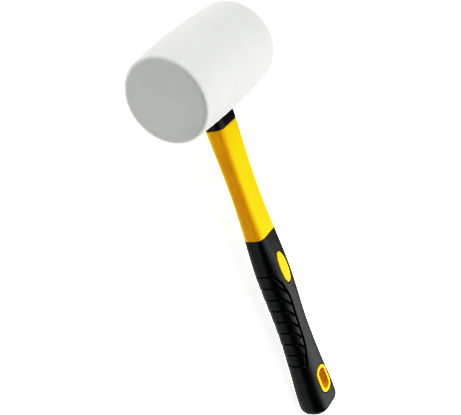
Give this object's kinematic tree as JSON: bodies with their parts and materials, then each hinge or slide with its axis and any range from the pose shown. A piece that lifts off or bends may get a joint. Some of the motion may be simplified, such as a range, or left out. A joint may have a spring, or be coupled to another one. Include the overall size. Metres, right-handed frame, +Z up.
{
  "type": "rubber mallet",
  "caption": "Double-faced rubber mallet: barrel-shaped white head on a yellow jacketed glass-fibre handle with a black ribbed grip and a hanging slot.",
  "frame": {"origin": "centre of the mallet's bounding box, at floor level: the mallet lies on its side, touching the floor with the middle of the head's barrel and with the butt", "axes": "+X from the head towards the butt, +Y along the head's axis from the striking face beside the ribbed edge of the grip to the other one, +Z up. The handle slopes down by 4.44 degrees from +X towards the butt"},
  "size_m": [0.3145, 0.0992, 0.0662],
  "materials": {
    "head_rubber": "matt moulded white rubber",
    "adhesive": "cured epoxy",
    "neck_rubber": "matt black moulded rubber",
    "glass_fibre": "pultruded glass-fibre rod",
    "jacket_plastic": "satin moulded yellow plastic",
    "grip_rubber": "satin black moulded soft grip"
  },
  "bodies": {
    "root": {"head": "head_rubber", "bond_layer": "adhesive", "neck_sleeve": "neck_rubber", "core_rod": "glass_fibre", "jacket": "jacket_plastic", "grip": "grip_rubber"}
  },
  "joints": []
}
